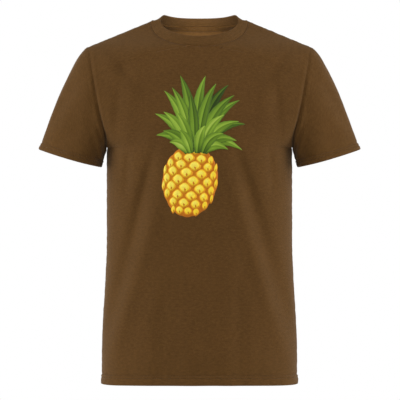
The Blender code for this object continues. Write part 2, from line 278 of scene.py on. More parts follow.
def front_folds(place):
    x, z = place[..., 0], place[..., 2]
    h = sum(valley(x, z, *line) for line in FRONT_VALLEYS)
    # A soft flat under the chest and slack flutes above the hem
    low = ease((-0.36 - z) / 0.24)
    h += low * 0.0010 * np.cos((x + 0.012 + 0.05 * (z + 0.5)) / 0.0125) * bump(x, 0.10)
    h += low * 0.0040 * soft_noise(place * (1, 0.2, 0.16), 0.050, 3)
    # The chest stands a little proud, and the cloth is drawn from the shoulders to the underarms
    for side in (LEFT, RIGHT):
        h += 0.0035 * bump(side * x - 0.080, 0.055) * bump(z + 0.215, 0.065)
        pull = side * x - 0.151 + 0.10 * (z + 0.16) + 0.004 * side
        h -= 0.0020 * bump(pull, 0.009) * bump(z + 0.185, 0.060)
        h += 0.0020 * bump(pull + 0.026, 0.014) * bump(z + 0.165, 0.060)
        # Slanting drags from the shoulder tips towards the middle of the chest
        drag = side * x - 0.145 - 0.75 * (z + 0.110)
        h -= 0.0032 * bump(drag, 0.012) * bump(z + 0.118, 0.055)
        h += 0.0020 * bump(drag - 0.028, 0.014) * bump(z + 0.125, 0.040)
        drag = side * x - 0.112 - 0.90 * (z + 0.135)
        h -= 0.0014 * bump(drag, 0.010) * bump(z + 0.140, 0.036)
    h += 0.0012 * soft_noise(place * (1, 0.3, 0.7), 0.030, 11)
    return h


def back_folds(place):
    x, z = place[..., 0], place[..., 2]
    h = sum(valley(x, z, *line) for line in BACK_VALLEYS)
    # The hollow of the back between the shoulder blades
    h -= 0.0050 * bump(x, 0.035) * bump(z + 0.20, 0.12)
    h += 0.0045 * (bump(x - 0.080, 0.050) + bump(x + 0.080, 0.050)) * bump(z + 0.16, 0.065)
    low = ease((-0.40 - z) / 0.24)
    h += low * 0.0055 * soft_noise(place * (1, 0.2, 0.16), 0.052, 23)
    for side in (LEFT, RIGHT):
        pull = side * x - 0.148 + 0.16 * (z + 0.16)
        h -= 0.0035 * bump(pull, 0.013) * bump(z + 0.175, 0.075)
        h += 0.0020 * bump(pull + 0.032, 0.016) * bump(z + 0.140, 0.070)
    h += 0.0012 * soft_noise(place * (1, 0.3, 0.7), 0.032, 31)
    return h


# Each drag's place round the sleeve, its slant and its depth.
SLEEVE_DRAGS = ((0.20, 0.16, 0.0036), (0.80, -0.17, 0.0042), (0.34, 0.10, 0.0020), (0.66, -0.08, 0.0022))


def sleeve_folds(grid, side):
    """The left or right sleeve's folds, on a tube whose columns start at the underarm."""
    rows, cols = grid.shape[:2]
    down = np.linspace(0, 1, rows)[:, None] * np.ones((1, cols))
    turn = np.arange(cols)[None, :] / cols * np.ones((rows, 1))
    height = np.sin(turn * math.pi)
    seed = 40 + side
    reach = np.linalg.norm(grid - grid[:1], axis=2)
    low = ease((0.62 - height) / 0.45)
    wander = 0.003 * soft_noise(grid, 0.06, seed + 3)
    h = -0.0036 * low * bump(reach - 0.0150 - wander, 0.0042)
    h += 0.0040 * low * bump(reach - 0.0250 - wander, 0.0080)
    h -= 0.0030 * low * bump(reach - 0.0380 - 2 * wander, 0.0070) * ease((0.6 - height) / 0.3)
    # Drag from the underarm out across the sleeve, on the front and on the back
    for centre, slant, depth in SLEEVE_DRAGS:
        line = turn - centre - slant * (down - 0.35)
        h -= depth * bump(line, 0.045) * ease(down * 4) * ease((1.05 - down) * 2.2)
        beside = bump(line - 0.085 * np.sign(slant), 0.045)
        h += 0.5 * depth * beside * ease(down * 4) * ease((1.05 - down) * 2.2)
    h += 0.0024 * soft_noise(grid * (1, 1, 0.6), 0.045, seed) * ease(down * 3)
    h += 0.0008 * soft_noise(grid, 0.018, seed + 7)
    return h


def seam_distance(grid, seams):
    """How far each point is from the nearest of the seams."""
    points = np.concatenate(seams)
    away = np.full(grid.shape[:2], 1.0)
    for r in range(grid.shape[0]):
        gap = np.linalg.norm(grid[r][:, None] - points[None], axis=2)
        away[r] = gap.min(axis=1)
    return away


def dense(line, count=400):
    """The same line with many more points."""
    run = run_along(line)
    return points_at(np.linspace(0, run[-1], count), run, line)


class Patch:
    """Cloth between its seams, as rows and columns of points that can be read anywhere between them."""

    def __init__(self, grid, outward, across, along, away, closed=False, beyond=None):
        self.closed = closed
        self.outward = outward
        self.rows, self.cols = grid.shape[:2]
        data = np.concatenate([grid, across[..., None], along[..., None], away[..., None]], axis=2)
        if closed:
            # These are the tube's own columns, not copies, so the weave is squeezed in a narrow strip on each side
            # of the underarm, where the running length jumps by a girth
            before, after = data[:, -2:], data[:, :3]
            after[..., 3] += self.girth(grid)[:, None]
            before[..., 3] -= self.girth(grid)[:, None]
            data = np.concatenate([before, data, after], axis=1)
        else:
            inner = 2 * data[:, :1] - data[:, 1:2]
            if beyond is not None:
                inner[: NECK_ROW + 1, 0, :3] = beyond[: NECK_ROW + 1]
            inner = np.concatenate([2 * inner - data[:, :1], inner], axis=1)
            outer = 2 * data[:, -1:] - data[:, -2:-1]
            data = np.concatenate([inner, data, outer, 2 * outer - data[:, -1:]], axis=1)
        top, end = 2 * data[:1] - data[1:2], 2 * data[-1:] - data[-2:-1]
        self.data = np.concatenate([2 * top - data[:1], top, data, end, 2 * end - data[-1:]], axis=0)

    @staticmethod
    def girth(grid):
        return np.linalg.norm(np.diff(np.concatenate([grid, grid[:, :1]], axis=1), axis=1), axis=2).sum(axis=1)

    def read(self, r, c):
        """Place, across, along and seam distance at any row and column."""
        r, c = np.broadcast_arrays(np.asarray(r, dtype=float), np.asarray(c, dtype=float))
        if self.closed:
            c = c - np.floor(c / self.cols) * self.cols
        limit = self.cols if self.closed else self.cols - 1
        r0 = np.clip(np.floor(r), -1, self.rows - 1).astype(int)
        c0 = np.clip(np.floor(c), -1, limit).astype(int)
        wr, wc = self.weights(r - r0), self.weights(c - c0)
        out = 0
        for i in range(4):
            for j in range(4):
                tap = self.data[r0 + i + 1, c0 + j + 1]
                out = out + tap * (wr[i] * wc[j])[..., None]
        return out

    def row_above_hem(self, height, c):
        """The row that lies the given height above the hem, measured along the cloth in column c."""
        c = np.asarray(c, dtype=float)
        rows = np.arange(self.rows)
        run = self.read(rows[:, None], c[None, :])[..., 4]
        return np.array([np.interp(run[-1, k] - height, run[:, k], rows) for k in range(len(c))])

    @staticmethod
    def weights(t):
        return (
            0.5 * (-t + 2 * t**2 - t**3),
            0.5 * (2 - 5 * t**2 + 3 * t**3),
            0.5 * (t + 4 * t**2 - 3 * t**3),
            0.5 * (-(t**2) + t**3),
        )

    def normal(self, r, c):
        step = 0.05
        down = self.read(r + step, c)[..., :3] - self.read(r - step, c)[..., :3]
        over = self.read(r, c + step)[..., :3] - self.read(r, c - step)[..., :3]
        return unit(np.cross(over, down)) * self.outward

    def skin(self, r, c):
        """The outer face, with its seams drawn in and puckered: place, normal, across and along."""
        r, c = np.broadcast_arrays(np.asarray(r, dtype=float), np.asarray(c, dtype=float))
        data, normal = self.read(r, c), self.normal(r, c)
        away = np.maximum(data[..., 5], 0)
        place = data[..., :3]
        outer = ease((np.abs(place[..., 0]) - 0.095) / 0.03) * mix(0.3, 1, ease((-0.07 - place[..., 2]) / 0.06))
        lift = -mix(0.0004, 0.0013, outer) * bump(away, 0.0032) + 0.0005 * outer * bump(away - 0.0066, 0.0032)
        near = away < 0.016
        if near.any():
            pucker = soft_noise(place[near], 0.0055, 61) * 0.00055 + soft_noise(place[near], 0.012, 67) * 0.0006
            lift[near] += pucker * bump(away[near] - 0.005, 0.006)
        return place + self.seam_way(place, normal, away) * lift[..., None], normal, data[..., 3], data[..., 4]

    @staticmethod
    def seam_way(place, normal, away):
        """The way the cloth is drawn in: along its normal, but at an armhole the same way on both its sides."""
        spoke = place * (0, 1, 1) - (0, 0, (UNDERARM_Z + SHOULDER_Z) / 2)
        share = ease((np.abs(place[..., 0]) - 0.150) / 0.02) * ease((place[..., 2] - UNDERARM_Z + 0.004) / 0.006)
        share = (share * ease((0.009 - away) / 0.006))[..., None]
        return unit(normal * (1 - share) + unit(spoke) * share)


def arc(points, axis):
    """Running length along one way of a grid, from nothing."""
    steps = np.linalg.norm(np.diff(points, axis=axis), axis=2)
    lead = np.zeros_like(np.take(steps, [0], axis=axis))
    return np.concatenate([lead, np.cumsum(steps, axis=axis)], axis=axis)


def panel_patches(face):
    base = panel_half(face)
    seams = [dense(base[:, -1]), dense(base[-1]), dense(base[NECK_ROW:, 0])]
    away = seam_distance(base, seams)
    across = base[:, :1, 0] + arc(base, 1)
    along = arc(base * (0, 1, 1), 0)
    folds = front_folds if face == FRONT else back_folds
    loose = (1 - bump(away, 0.022)) * ease(away / 0.012)
    placed = {}
    for side in (LEFT, RIGHT):
        half = base * (side, 1, 1)
        placed[side] = half + (folds(half) * loose)[..., None] * (0, face, 0)
    return {
        side: Patch(placed[side], side * -face, across * side, along, away, beyond=placed[-side][:, 1])
        for side in (LEFT, RIGHT)
    }


def sleeve_patch(side):
    base = sleeve_tube()
    seams = [dense(np.concatenate([base[0], base[0, :1]])), dense(base[:, 0])]
    away = seam_distance(base, seams)
    across, along = arc(base, 1), arc(base, 0)
    placed = base * (side, 1, 1)
    h = sleeve_folds(placed, side) * (1 - bump(away, 0.012))
    probe = Patch(placed, 1, across, along, away, closed=True)
    rows, cols = np.meshgrid(np.arange(base.shape[0]), np.arange(base.shape[1]), indexing="ij")
    normal = probe.normal(rows, cols)
    centre = placed.mean(axis=1, keepdims=True)
    facing = 1 if ((placed - centre) * normal).sum() > 0 else -1
    # The folds move the cloth towards and away from the viewer more than sideways, so the sleeve keeps its outline
    push = normal * facing * (0.35, 1, 0.35)
    placed = placed + h[..., None] * push
    return Patch(placed, facing, across, along, away, closed=True)


PANELS = {FRONT: panel_patches(FRONT), BACK: panel_patches(BACK)}
SLEEVES = {LEFT: sleeve_patch(LEFT), RIGHT: sleeve_patch(RIGHT)}

# ---- Meshes from rows of points ----


def make_object(name, verts, faces, material, uvs=None, tones=None):
    mesh = bpy.data.meshes.new(name)
    mesh.from_pydata(np.asarray(verts).tolist(), [], faces)
    loops = np.array([l.vertex_index for l in mesh.loops])
    if uvs is not None:
        layer = mesh.uv_layers.new(name="cloth")
        layer.data.foreach_set("uv", np.asarray(uvs, dtype=np.float32)[loops].ravel())
    if tones is not None:
        layer = mesh.attributes.new("tone", "FLOAT", "POINT")
        layer.data.foreach_set("value", np.asarray(tones, dtype=np.float32))
    mesh.shade_smooth()
    obj = bpy.data.objects.new(name, mesh)
    bpy.context.scene.collection.objects.link(obj)
    mesh.materials.append(material)
    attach(obj, "root")
    return obj


def weld(obj, gap=0.00002):
    bm = bmesh.new()
    bm.from_mesh(obj.data)
    bmesh.ops.remove_doubles(bm, verts=bm.verts, dist=gap)
    bm.to_mesh(obj.data)
    bm.free()


def thicken(obj, thickness):
    """Give a sheet its thickness, towards its wrong side, and mark that side's points."""
    right_side = len(obj.data.vertices)
    solid = obj.modifiers.new("Thickness", "SOLIDIFY")
    solid.thickness = thickness
    solid.offset = -1.0
    solid.use_quality_normals = True
    bpy.ops.object.select_all(action="DESELECT")
    bpy.context.view_layer.objects.active = obj
    obj.select_set(True)
    bpy.ops.object.modifier_apply(modifier=solid.name)
    obj.select_set(False)
    wrong = np.zeros(len(obj.data.vertices), dtype=np.float32)
    wrong[right_side:] = 1
    obj.data.attributes.new("wrong_side", "FLOAT", "POINT").data.foreach_set("value", wrong)


def grid_faces(rows, cols, flip=False):
    faces = []
    for a in (r * cols + c for r in range(rows - 1) for c in range(cols - 1)):
        quad = (a, a + 1, a + cols + 1, a + cols)
        faces.append(quad[::-1] if flip else quad)
    return faces


def join(parts):
    """One set of points, faces and flat places from several."""
    verts, faces, uvs = [], [], []
    for part_verts, part_faces, part_uvs in parts:
        count = sum(len(part) for part in verts)
        faces += [tuple(i + count for i in face) for face in part_faces]
        verts.append(part_verts)
        uvs.append(part_uvs)
    return np.concatenate(verts), faces, np.concatenate(uvs)


def flat_places(u, v):
    """Places on the flat cloth, one for each point of a grid."""
    return np.stack([u, v], axis=-1).reshape(-1, 2)


# The gap between a hem's layers is twice TURN.
TURN = 0.0009
BODY_HEM = 0.0205
SLEEVE_HEM = 0.0155


def hem_profile(turn_up, needles):
    """The turned-up hem from the raw edge inside, round the fold and up the outside: height and inset."""
    inside = [(s, 2 * TURN) for s in np.linspace(turn_up, 0.0015, 7)]
    turns = np.linspace(math.pi / 2, -math.pi / 2, 7)
    bend = [(TURN - TURN * math.cos(a), TURN + TURN * math.sin(a)) for a in turns]
    low, high = needles
    drawn_in = np.array([-0.0018, -0.0009, 0, 0.0009, 0.0018])
    heights = [np.linspace(0.0015, low - 0.0036, 5), low + drawn_in, [(low + high) / 2], high + drawn_in]
    outside = [(s, 0.0) for s in np.concatenate(heights + [[turn_up + 0.003]])]
    return inside + bend + outside


def hem_swell(height, needles):
    """The hem is puffed between its fold and its needle rows, and drawn in at the rows."""
    low, high = needles
    lift = 0.0013 * ease((high + 0.0015 - height) / 0.004) + 0.0004 * bump(height - low * 0.5, low * 0.40)
    return lift - 0.0008 * (bump(height - low, 0.0017) + bump(height - high, 0.0019))


def hem_lift(place, height, needles, inset):
    """How far a hem stands off its panel: its swell outside, its inner layer's inset, and a slight roping of both."""
    rope = 0.00035 * soft_noise(place, 0.007, 71) * bump(height - 0.7 * needles[0], 0.8 * needles[0])
    return (hem_swell(height, needles) * (inset == 0) + rope - inset)[..., None]


# How far a seam's allowance reaches, in steps from the seam, and the gap between a seam's two allowances.
ALLOWANCE = (0.0006, 0.0022, 0.0042, 0.0062)
ALLOWANCE_GAP = 0.00008
BODY_NEEDLES = (0.0142, 0.0192)
SLEEVE_NEEDLES = (0.0090, 0.0140)
ARMHOLE_MIDDLE = (0.1975, 0, -0.162)


def armhole_inward(points, side):
    """The way an armhole's allowance points: into the armhole."""
    return unit((np.array(ARMHOLE_MIDDLE) * (side, 1, 1) - points) * (0.6, 1, 1))


def panel_mesh(name, face):
    """A whole panel: both halves, the turned-up hem and the allowances inside its seams."""
    # The rows and columns stand closer together over the yoke and next to the seams
    cols = np.concatenate([np.linspace(0, 29.2, 76), [29.45, 29.65, 29.82, COLUMNS]])
    hem = hem_profile(BODY_HEM, BODY_NEEDLES)
    above = [np.linspace(hem[-1][0] / ROW_STEP, 81, 166)[1:], np.linspace(81, 97.2, 38)[1:], [97.5, 97.75, TOP_ROW]]
    rows = np.concatenate([[s / ROW_STEP for s, _ in hem]] + above)
    inset = np.zeros((len(rows), 1))
    inset[: len(hem), 0] = [o for _, o in hem]
    parts = []
    for side in (LEFT, RIGHT):
        rr, cc = np.meshgrid(rows, cols, indexing="ij")
        place, normal, u, v = PANELS[face][side].skin(rr, cc)
        place = place + normal * hem_lift(place, rr * ROW_STEP, BODY_NEEDLES, inset)
        # The allowance turns in from the side, the armhole and the shoulder
        edge = place[:, -1:]
        at_side = (rr[:, -1:] < BODY_ROWS)[..., None]
        inward = np.where(at_side, np.array([-side, 0, 0.0]), armhole_inward(edge, side))
        flaps = [edge + inward * a + (0, face * ALLOWANCE_GAP, 0) for a in ALLOWANCE]
        place = np.concatenate([place] + flaps, axis=1)
        u = np.concatenate([u] + [u[:, -1:] + side * a for a in ALLOWANCE], axis=1)
        v = np.concatenate([v] + [v[:, -1:]] * len(ALLOWANCE), axis=1)
        tops = [place[-1:] + np.array([0, face * ALLOWANCE_GAP, -a]) for a in ALLOWANCE]
        place = np.concatenate([place] + tops, axis=0)
        u = np.concatenate([u] + [u[-1:]] * len(ALLOWANCE), axis=0)
        v = np.concatenate([v] + [v[-1:] + a for a in ALLOWANCE], axis=0)
        parts.append((place.reshape(-1, 3), grid_faces(*u.shape, side * face > 0), flat_places(u, v)))
    return sewn_cloth(name, *join(parts))


def sewn_cloth(name, verts, faces, uvs):
    obj = make_object(name, verts, faces, JERSEY, uvs)
    weld(obj)
    thicken(obj, CLOTH)
    return obj


def sleeve_mesh(name, side):
    """A sleeve: its allowance inside the armhole, the tube, and the turned-up hem."""
    patch = SLEEVES[side]
    around = 140
    cols = patch.cols * np.arange(around) / around
    hem = hem_profile(SLEEVE_HEM, SLEEVE_NEEDLES)[::-1]
    start = patch.row_above_hem(hem[0][0], cols)
    shares = np.concatenate([[0, 0.006, 0.016, 0.03], np.linspace(0.048, 0.985, 62)])
    rr = [np.zeros(around)] * len(ALLOWANCE) + [start * share for share in shares]
    rr = np.array(rr + [patch.row_above_hem(height, cols) for height, _ in hem])
    inset = np.zeros((len(rr), 1))
    inset[-len(hem) :, 0] = [o for _, o in hem]
    place, normal, u, v = patch.skin(rr, np.broadcast_to(cols, rr.shape))
    length = patch.read(np.full(around, patch.rows - 1), cols)[:, 4]
    place = place + normal * hem_lift(place, length[None, :] - v, SLEEVE_NEEDLES, inset)
    first = place[len(ALLOWANCE)].copy()
    for i, a in enumerate(ALLOWANCE[::-1]):
        place[i] = first + armhole_inward(first, side) * a + (side * 0.0001, 0, 0)
        v[i] = -a
    # The tube closes at the underarm with a column of its own, so the weave doesn't turn back there
    place = np.concatenate([place, place[:, :1]], axis=1)
    girth = u[:, -1:] + (u[:, -1:] - u[:, -2:-1])
    u, v = np.concatenate([u, girth], axis=1), np.concatenate([v, v[:, :1]], axis=1)
    faces = grid_faces(*place.shape[:2], patch.outward < 0)
    return sewn_cloth(name, place.reshape(-1, 3), faces, flat_places(u, v))


# ---- Thread ----


def stitch_shape():
    """One stitch lying along x, a unit long and with a unit radius, its ends dipping into the cloth."""
    rings = [(-0.40, 0.72), (-0.18, 1.0), (0.18, 1.0), (0.40, 0.72)]
    sides = 6
    verts = [(-0.5, 0, -0.9)]
    for x, size in rings:
        dip = -1.1 * (2 * abs(x)) ** 4
        verts += [
            (x, size * math.cos(2 * math.pi * k / sides), size * math.sin(2 * math.pi * k / sides) + dip)
            for k in range(sides)
        ]
    verts.append((0.5, 0, -0.9))
    faces = [(0, 1 + (k + 1) % sides, 1 + k) for k in range(sides)]
    for r in range(len(rings) - 1):
        a, b = 1 + r * sides, 1 + (r + 1) * sides
        faces += [(a + k, a + (k + 1) % sides, b + (k + 1) % sides, b + k) for k in range(sides)]
    a, last = 1 + (len(rings) - 1) * sides, len(verts) - 1
    faces += [(last, a + k, a + (k + 1) % sides) for k in range(sides)]
    return np.array(verts), faces


STITCH = stitch_shape()


def lay_stitches(middles, runs, ups, radius):
    """Stitches of the given middles, each run's length and direction, and the side that faces out."""
    shape, shape_faces = STITCH
    length = np.linalg.norm(runs, axis=1, keepdims=True)
    ahead = runs / length
    ups = unit(ups - ahead * (ups * ahead).sum(axis=1, keepdims=True))
    beside = np.cross(ups, ahead)
    verts = (
        middles[:, None]
        + shape[None, :, :1] * runs[:, None]
        + shape[None, :, 1:2] * radius * beside[:, None]
        + shape[None, :, 2:] * radius * ups[:, None]
    )
    count = len(shape)
    faces = [tuple(i + n * count for i in f) for n in range(len(middles)) for f in shape_faces]
    uvs = flat_places(shape[:, 0] * length, np.broadcast_to(shape[:, 1] * radius, (len(middles), count)))
    return verts.reshape(-1, 3), faces, uvs


def spaced(points, ups, pitch, closed=False):
    """Points, directions and ups at even steps along a line."""
    if closed:
        points, ups = np.concatenate([points, points[:1]]), np.concatenate([ups, ups[:1]])
    run = run_along(points)
    count = max(int(round(run[-1] / pitch)), 1)
    at = (np.arange(count) + 0.5) * run[-1] / count
    ahead = unit(points_at(at + pitch * 0.3, run, points) - points_at(at - pitch * 0.3, run, points))
    return points_at(at, run, points), ahead, unit(points_at(at, run, ups))


STITCH_PITCH = 0.0031
STITCH_LENGTH = 0.0025
THREAD = 0.00026


def thread_object(name, parts):
    verts, faces, uvs = join(parts)
    return make_object(name, verts, faces, SEWING, uvs)


def straight_row(points, ups):
    middle, ahead, up = spaced(points + ups * THREAD * 0.5, ups, STITCH_PITCH, closed=True)
    return lay_stitches(middle, ahead * STITCH_LENGTH, up, THREAD)


def on_hem(patch, rows, cols, height, needles, inset):
    """A line on a hem's outer face, or on its inner layer where an inset is given, and the way it faces."""
    place, normal, _, _ = patch.skin(rows, cols)
    return place + normal * hem_lift(place, height, needles, inset), -normal if inset else normal


def body_loop(height, inset=0.0):
    """A line right round the body, the given height above the hem's fold."""
    inwards, outwards = np.linspace(COLUMNS, 0, 150)[:-1], np.linspace(0, COLUMNS, 150)[:-1]
    rows = np.full(len(inwards), height / ROW_STEP)
    path = ((FRONT, RIGHT, inwards), (FRONT, LEFT, outwards), (BACK, LEFT, inwards), (BACK, RIGHT, outwards))
    parts = [on_hem(PANELS[face][side], rows, cols, height, BODY_NEEDLES, inset) for face, side, cols in path]
    points, ups = zip(*parts)
    return np.concatenate(points), np.concatenate(ups)


def sleeve_loop(side, height, inset=0.0):
    patch = SLEEVES[side]
    cols = patch.cols * np.arange(260) / 260
    return on_hem(patch, patch.row_above_hem(height, cols), cols, height, SLEEVE_NEEDLES, inset)


def cover_stitch(low, high, ups):
    """The looper thread inside a twin-needle hem, which crosses from row to row."""
    count = int(round(run_along(low)[-1] / STITCH_PITCH))
    at = np.linspace(0, len(low) - 1, 2 * count + 1)
    low, high, ups = (points_at(at, np.arange(len(line)), line) for line in (low, high, ups))
    odd = (np.arange(len(at)) % 2)[:, None]
    knots = low * (1 - odd) + high * odd + ups * THREAD * 0.6
    runs = np.diff(knots, axis=0)
    return lay_stitches((knots[1:] + knots[:-1]) / 2, runs * 1.04, ups[1:], THREAD * 0.85)


def overlock(seam, inward, width, half_thick):
    """Loops over the raw edges of a seam's allowances, and the purl along their edge."""
    middle, ahead, into = spaced(seam, inward, 0.0027)
    out = unit(np.cross(ahead, into))
    parts = []
    for face in (1, -1):
        centre = middle + into * width * 0.5 + out * face * (half_thick + THREAD * 0.4)
        run = into * width * 0.96 + ahead * face * 0.0011
        parts.append(lay_stitches(centre, run, out * face, THREAD * 0.8))
    rim = middle + into * (width + THREAD * 0.3)
    parts.append(lay_stitches(rim, ahead * 0.0030, into, THREAD * 1.5))
    cross = out * (2 * half_thick + 0.0003)
    parts.append(lay_stitches(rim + ahead * 0.0012, cross, into, THREAD * 0.9))
    return parts


# ---- Collar: the folded rib band, the tape and the rows of thread that follow the neckline ----

RIB_COUNT = 282
RIB_STEPS = 4
RIB_PITCH = 0.0018
BAND_HEIGHT = 0.025
RIB_HALF = 0.0010
RIB_CLOTH = 0.0008


def neck_seam_at(turn):
    """The neck seam at a turn round the neck from the front middle by the wearer's left."""
    face = FRONT if math.cos(turn) >= 0 else BACK
    angle = math.asin(min(abs(math.sin(turn)), 1.0))
    place = neckline(face, angle)
    return place * (1 if math.sin(turn) >= 0 else -1, 1, 1)


def collar_edge_at(turn):
    """The band's folded top edge: it climbs past the shoulder, then runs nearly level behind the neck."""
    c = math.cos(turn)
    y = COLLAR_FRONT[0] * c if c > 0 else -COLLAR_BACK[0] * c
    climb = mix(COLLAR_SIDE_Z, COLLAR_FRONT[1], c)
    level = mix(0.0010, COLLAR_BACK[1], ease((-c - 0.3) / 0.7))
    sharp = 700
    z = -math.log(math.exp(-sharp * climb) + math.exp(-sharp * level)) / sharp
    return np.array([COLLAR_HALF * math.sin(turn), y, z])


def neck_turns(count):
    """Turns round the neck at even steps along the seam."""
    turns = np.linspace(0, 2 * math.pi, 2001)
    run = run_along(np.array([neck_seam_at(t) for t in turns]))
    return np.interp(np.arange(count) / count * run[-1], run, turns)


def neck_line(turns):
    """The neck seam at the given turns, and the way it runs."""
    seam = np.array([neck_seam_at(t) for t in turns])
    return seam, unit(np.roll(seam, -1, axis=0) - np.roll(seam, 1, axis=0))


def outward_side(seam, ahead, across):
    """The side of a strip round the neck that faces away from the neck's middle."""
    ups = unit(np.cross(ahead, across))
    return ups * np.sign((ups * (seam * (1, 1, 0) + (0, 0, 0.05))).sum(axis=1))[:, None]


def panel_tree():
    """Both panels' outer faces, for laying other pieces on them."""
    parts = []
    rr, cc = np.meshgrid(np.linspace(0, TOP_ROW, 250), np.linspace(0, COLUMNS, 90), indexing="ij")
    for face in (FRONT, BACK):
        for side in (LEFT, RIGHT):
            place, _, u, v = PANELS[face][side].skin(rr, cc)
            parts.append((place.reshape(-1, 3), grid_faces(*rr.shape, side * face > 0), flat_places(u, v)))
    verts, faces, _ = join(parts)
    return BVHTree.FromPolygons([tuple(v) for v in verts], faces)


def smoothed(ring):
    """Each point of a ring drawn towards its two neighbours."""
    return (ring * 2 + np.roll(ring, 1, axis=0) + np.roll(ring, -1, axis=0)) / 4


def neck_ring(tree, turns, drop, inset=0.0):
    """A line on the panels, the given distance outside the neck seam, with the panels' outward side."""
    seam, ahead = neck_line(turns)
    # The way down the panel is read from a point 13 mm out, then evened out round the neck
    down = []
    for place in seam:
        away = unit(place * (1, 1, 0) + (0, 0, -0.02))
        far, _, _, _ = tree.find_nearest(Vector(place + away * 0.013))
        down.append(unit(np.array(far) - place))
    down = np.array(down)
    for _ in range(len(turns) // 60):
        down = unit(smoothed(down))
    ups = outward_side(seam, ahead, down)
    points = []
    for place, up in zip(seam + down * drop, ups):
        hit, _, _, _ = tree.ray_cast(Vector(place + up * 0.004), Vector(-up), 0.009)
        points.append(place if hit is None else np.array(hit))
    points = np.array(points)
    for _ in range(3):
        points = smoothed(points)
    return points - ups * inset, ups


def collar_mesh(name, tree):
    """The rib band, folded at its top edge, with its raw edges turned down inside the neck seam."""
    turns = neck_turns(RIB_COUNT * RIB_STEPS)
    seam, ahead = neck_line(turns)
    rise = np.array([collar_edge_at(t) for t in turns]) - seam
    outward = outward_side(seam, ahead, rise)
    inner_edge = neck_ring(tree, turns, 0.0060, CLOTH + 0.0014)[0]
    inner_mid = neck_ring(tree, turns, 0.0030, CLOTH + 0.0012)[0]
    wave = np.cos(np.arange(len(turns)) * math.pi / 2)[:, None]
    wobble = soft_noise(seam, 0.03, 81)[:, None]
    round_off = np.cos(turns)[:, None] ** 2
    columns, heights = [], []

    def add(share, off, relief=1.0, height=None):
        belly = math.sin(math.pi * min(max(share, 0), 1)) * (mix(-0.0005, 0.0009, round_off) + 0.0004 * wobble)
        sign = 1 if off >= 0 else -1
        columns.append(seam + rise * share + outward * (off + belly + sign * 0.00022 * relief * wave))
        heights.append(share * BAND_HEIGHT if height is None else height)

    bend = RIB_HALF / BAND_HEIGHT
    add(-0.10, -0.0020, 0.1)
    add(-0.02, -0.0002, 0.2)
    add(0.012, 0.0003, 0.6)
    for share in (0.04, 0.09, 0.17, 0.28, 0.40, 0.52, 0.64, 0.76, 0.87, 1 - bend):
        add(share, RIB_HALF)
    for angle in (55, 25, -5, -35, -65):
        c, s = math.cos(math.radians(angle)), math.sin(math.radians(angle))
        columns.append(seam + rise * (1 - bend + bend * c) + outward * (RIB_HALF * s + 0.00016 * wave * s))
        heights.append(0.026)
    for share in (1 - bend, 0.85, 0.70, 0.55, 0.40, 0.26, 0.14, 0.05):
        add(share, -RIB_HALF, 1.0, 0.052 - share * BAND_HEIGHT)
    columns += [inner_mid, inner_edge]
    heights += [0.055, 0.058]
    grid = np.stack(columns, axis=0)
    place = np.concatenate([grid, grid[:, :1]], axis=1)
    size = place.shape[:2]
    u = np.broadcast_to(np.arange(size[1]) * (RIB_PITCH / RIB_STEPS), size)
    v = np.broadcast_to(np.array(heights)[:, None], size)
    obj = make_object(name, place.reshape(-1, 3), grid_faces(*size), RIB, flat_places(u, v))
    weld(obj)
    face_out(obj, lambda p: p * (1, 1, 0))
    thicken(obj, RIB_CLOTH)
    return obj


def face_out(obj, away):
    """Turn all the faces over if most of the outermost ones look inwards."""
    mesh = obj.data
    centres = np.array([f.center for f in mesh.polygons])
    normals = np.array([f.normal for f in mesh.polygons])
    first = slice(0, max(len(centres) // 3, 1))
    if (away(centres[first]) * normals[first]).sum() < 0:
        mesh.flip_normals()


# Each row's distance below the neck seam, and how far inside the panel it lies.
TAPE_ROWS = (
    (-0.0006, 0.0004),
    (0.0008, 0.0020),
    (0.0022, 0.0026),
    (0.0042, 0.0026),
    (0.0065, 0.0026),
    (0.0090, 0.0026),
    (0.0108, 0.0020),
    (0.0117, 0.0012),
)


def tape_mesh(name, tree):
    """The tape inside the back neck, from shoulder seam to shoulder seam over the raw edges."""
    turns = neck_turns(720)
    back = [i for i, t in enumerate(turns) if math.radians(91) < t < math.radians(269)]
    rows = []
    for drop, inset in TAPE_ROWS:
        points, ups = neck_ring(tree, turns, drop, CLOTH + inset)
        crown = 0.0002 * math.sin(math.pi * max(drop, 0) / TAPE_ROWS[-1][0])
        rows.append((points - ups * crown)[back])
    grid = np.stack(rows, axis=0)
    u = arc(grid, 1)
    v = np.broadcast_to(np.array([drop + 0.0006 for drop, _ in TAPE_ROWS])[:, None], u.shape)
    obj = make_object(name, grid.reshape(-1, 3), grid_faces(*u.shape), JERSEY, flat_places(u, v))
    face_out(obj, lambda p: p * (-1, -1, 0))
    thicken(obj, 0.0006)
    return obj


def neck_threads(tree):
    """The topstitch that follows the neck outside, and the overlocked seam under the tape."""
    turns = neck_turns(900)
    stitch = thread_object("neck_topstitch", [straight_row(*neck_ring(tree, turns, 0.0028))])
    points = neck_ring(tree, turns, 0.0022, CLOTH + 0.0022)[0]
    away = neck_ring(tree, turns, 0.0075, CLOTH + 0.0022)[0]
    return stitch, thread_object("neck_overlock", overlock(points, unit(away - points), 0.0044, 0.0006))


# ---- Print: a pineapple of formula-laid eyes and a computed fan of leaves, in thin films of ink ----

FILM = 0.00010
FRUIT_MIDDLE = (
    (FRUIT_BOX[0][0] + FRUIT_BOX[1][0]) / 2 - 0.0060,
    (FRUIT_BOX[0][2] + FRUIT_BOX[1][2]) / 2,
)
FRUIT_HALF = (0.0532, 0.0688)
FRUIT_TILT = math.radians(7)
CROWN_BASE = (-0.0065, -0.2645)
EGG = 2.0


